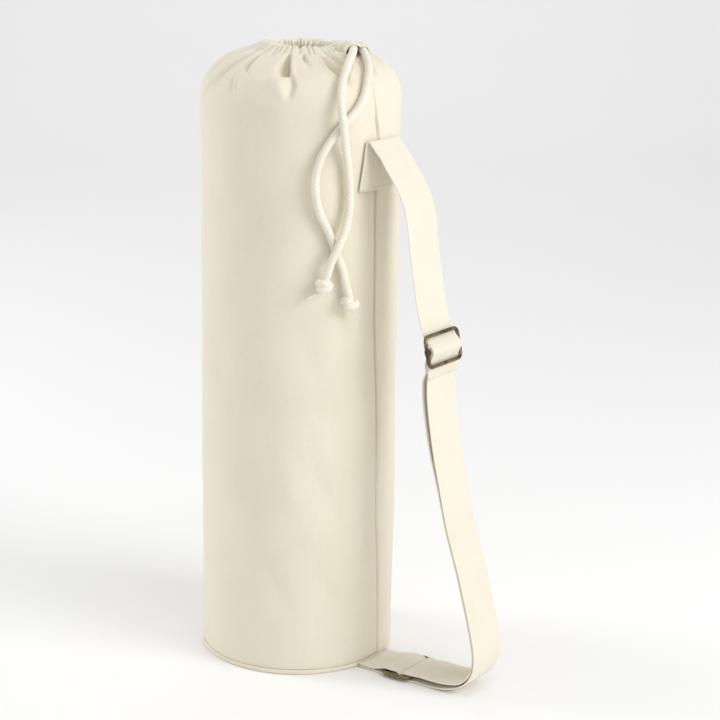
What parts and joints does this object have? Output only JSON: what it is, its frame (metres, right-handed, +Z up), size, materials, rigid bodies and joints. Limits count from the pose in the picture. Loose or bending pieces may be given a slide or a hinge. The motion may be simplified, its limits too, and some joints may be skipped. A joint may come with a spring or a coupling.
{
  "type": "yoga mat bag",
  "caption": "Tall round canvas drawstring bag for a rolled mat, with a gathered neck, knotted drawcord ends and an adjustable webbing carrying strap with metal sliders along its side",
  "frame": {"origin": "Centre of the underside of the round bottom, on the surface the bag stands on", "axes": "+Z runs up the bag to its gathered neck, and +X points from the bag's axis to the strap and the side seam"},
  "size_m": [0.3384, 0.2, 0.6367],
  "materials": {
    "canvas": "plain cotton canvas, matte",
    "webbing": "cotton webbing, matte",
    "cord": "soft cotton cord, matte",
    "antique_brass": "dark antique brass, satin"
  },
  "bodies": {
    "root": {"body_panel": "canvas", "base_panel": "canvas", "strap": "webbing", "strap_tab": "webbing", "slider_frame": "antique_brass", "slider_bar": "antique_brass", "lower_buckle_frame": "antique_brass", "lower_buckle_bar": "antique_brass", "drawcord_loop": "cord", "drawcord_front": "cord", "drawcord_back": "cord", "knot_front": "cord", "knot_back": "cord"}
  },
  "joints": []
}
